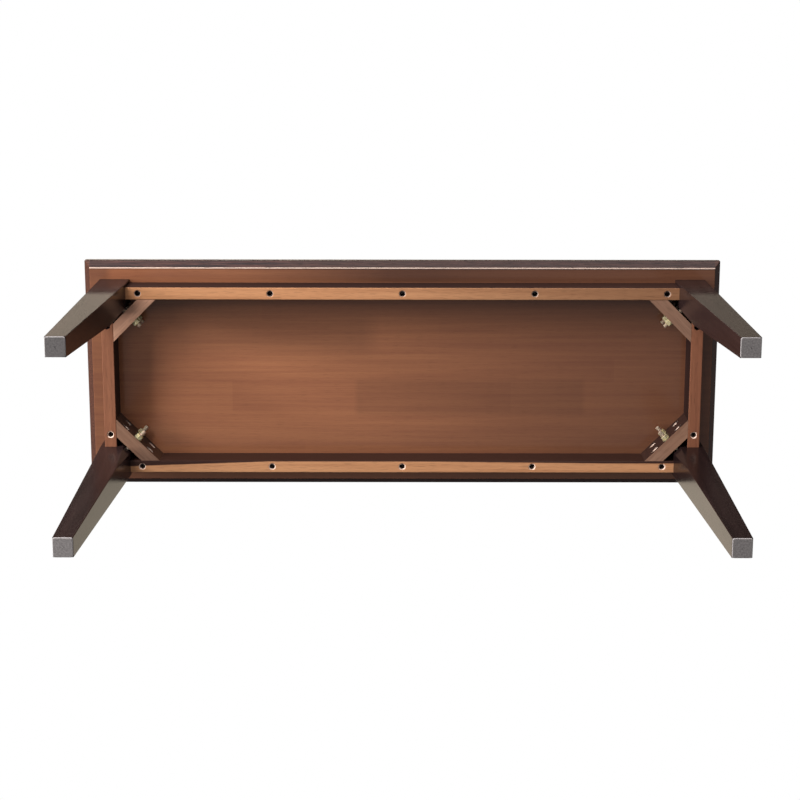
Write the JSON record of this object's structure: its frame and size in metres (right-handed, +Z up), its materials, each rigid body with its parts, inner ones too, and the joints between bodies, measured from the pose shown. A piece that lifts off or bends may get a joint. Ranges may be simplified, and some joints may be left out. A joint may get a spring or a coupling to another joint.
{
  "type": "backless wooden bench",
  "caption": "Backless solid wood bench: bevelled seat board on an apron frame, with square tapered legs bolted through corner braces.",
  "frame": {"origin": "centre of the footprint on the floor, under the middle of the seat", "axes": "+X along the bench to the right, -Y towards the front, +Z up"},
  "size_m": [0.95, 0.343, 0.48],
  "materials": {
    "varnished_wood": "dark walnut stain under gloss varnish",
    "zinc_steel": "bright zinc plate",
    "yellow_zinc_steel": "yellow zinc plate",
    "felt": "pressed grey felt"
  },
  "bodies": {
    "root": {"seat_board": "varnished_wood", "apron_front": "varnished_wood", "apron_back": "varnished_wood", "apron_left": "varnished_wood", "apron_right": "varnished_wood", "seat_screws_front": "zinc_steel", "seat_screws_back": "zinc_steel", "seat_screws_left": "zinc_steel", "seat_screws_right": "zinc_steel", "leg_front_left": "varnished_wood", "foot_pad_front_left": "felt", "corner_brace_front_left": "varnished_wood", "brace_screws_front_left": "zinc_steel", "hanger_bolts_front_left": "yellow_zinc_steel", "washers_front_left": "yellow_zinc_steel", "hex_nuts_front_left": "yellow_zinc_steel", "leg_front_right": "varnished_wood", "foot_pad_front_right": "felt", "corner_brace_front_right": "varnished_wood", "brace_screws_front_right": "zinc_steel", "hanger_bolts_front_right": "yellow_zinc_steel", "washers_front_right": "yellow_zinc_steel", "hex_nuts_front_right": "yellow_zinc_steel", "leg_back_left": "varnished_wood", "foot_pad_back_left": "felt", "corner_brace_back_left": "varnished_wood", "brace_screws_back_left": "zinc_steel", "hanger_bolts_back_left": "yellow_zinc_steel", "washers_back_left": "yellow_zinc_steel", "hex_nuts_back_left": "yellow_zinc_steel", "leg_back_right": "varnished_wood", "foot_pad_back_right": "felt", "corner_brace_back_right": "varnished_wood", "brace_screws_back_right": "zinc_steel", "hanger_bolts_back_right": "yellow_zinc_steel", "washers_back_right": "yellow_zinc_steel", "hex_nuts_back_right": "yellow_zinc_steel"}
  },
  "joints": []
}
